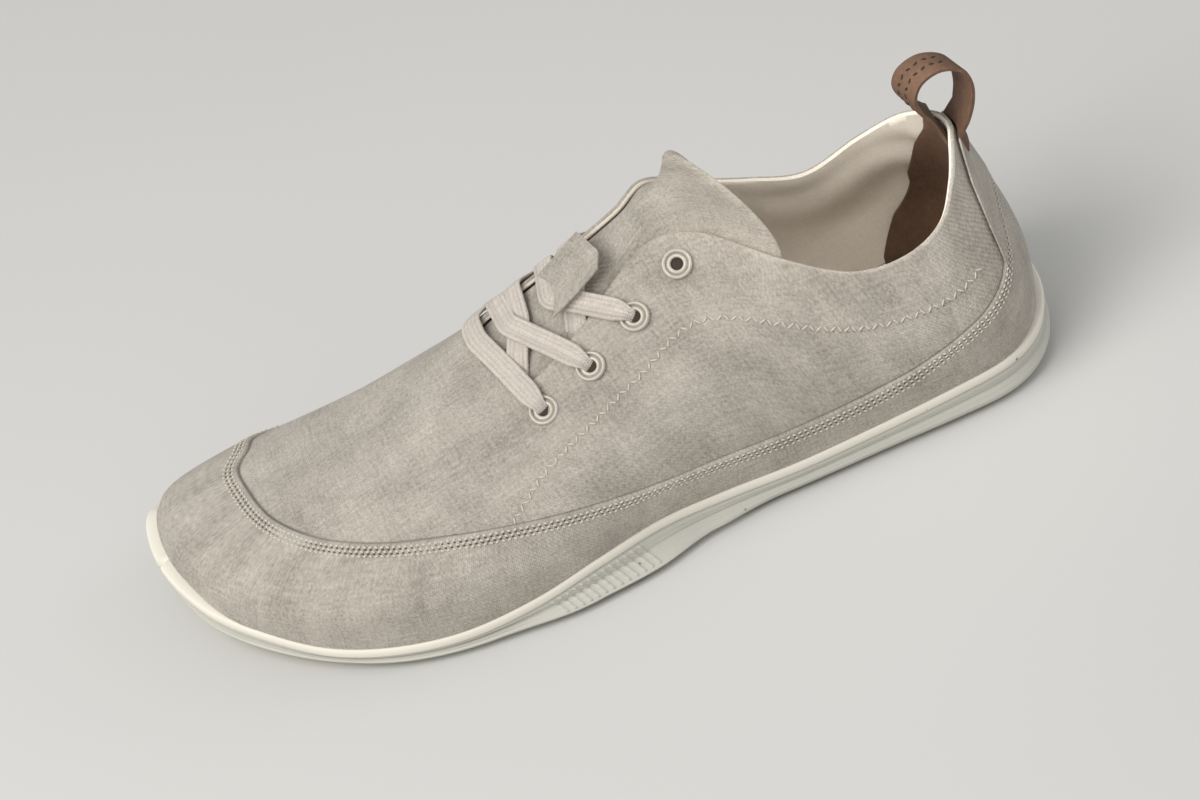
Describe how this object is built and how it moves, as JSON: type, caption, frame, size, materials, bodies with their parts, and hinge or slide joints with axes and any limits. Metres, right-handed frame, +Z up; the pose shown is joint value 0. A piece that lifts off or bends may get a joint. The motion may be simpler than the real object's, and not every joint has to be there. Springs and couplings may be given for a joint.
{
  "type": "barefoot shoe",
  "caption": "Low lace-up barefoot shoe for the left foot: linen upper with mudguard seam, gusset tongue, flat laces, leather heel loop and thin flexible rubber sole.",
  "frame": {"origin": "middle of the heel's flat rest on the floor", "axes": "+X towards the toe, +Y towards the outer side of the left foot, +Z up from the floor"},
  "size_m": [0.267, 0.1007, 0.0966],
  "materials": {
    "sole_rubber": "matt off-white rubber with fine ridges",
    "upper_linen": "heathered undyed linen",
    "insole_cloth": "plain cotton cloth",
    "loop_leather": "matt brown leather",
    "lace_cotton": "flat woven cotton",
    "eyelet_metal": "satin pale metal"
  },
  "bodies": {
    "root": {"outsole": "sole_rubber", "upper": "upper_linen", "tongue": "upper_linen", "insole": "insole_cloth", "pull_loop": "loop_leather", "lace": "lace_cotton", "lace_keeper": "upper_linen", "eyelet_outer_1": "eyelet_metal", "eyelet_inner_1": "eyelet_metal", "eyelet_outer_2": "eyelet_metal", "eyelet_inner_2": "eyelet_metal", "eyelet_outer_3": "eyelet_metal", "eyelet_inner_3": "eyelet_metal", "eyelet_outer_4": "eyelet_metal", "eyelet_inner_4": "eyelet_metal"}
  },
  "joints": []
}
